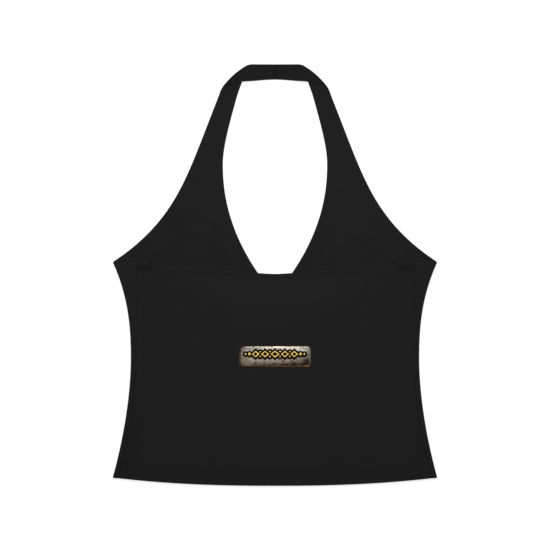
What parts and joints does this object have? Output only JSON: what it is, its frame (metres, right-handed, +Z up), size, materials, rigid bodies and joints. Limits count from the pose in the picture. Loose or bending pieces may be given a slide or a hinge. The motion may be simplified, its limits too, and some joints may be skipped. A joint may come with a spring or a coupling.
{
  "type": "halter neck top",
  "caption": "Halter neck top laid flat with its back up: a front with integral straps, a low-cut back panel and a small plain metal plate.",
  "frame": {"origin": "on the surface the top lies on, under the middle of its bounding box", "axes": "+Y from the hem towards the neck, +Z up out of the back panel, +X to the wearer's right"},
  "size_m": [0.406, 0.5274, 0.0049],
  "materials": {
    "black_jersey": "matt black stretch jersey, fine knit",
    "aged_pewter": "aged pewter with worn brown edges"
  },
  "bodies": {
    "root": {"front_panel": "black_jersey", "back_panel": "black_jersey", "name_plate": "aged_pewter"}
  },
  "joints": []
}
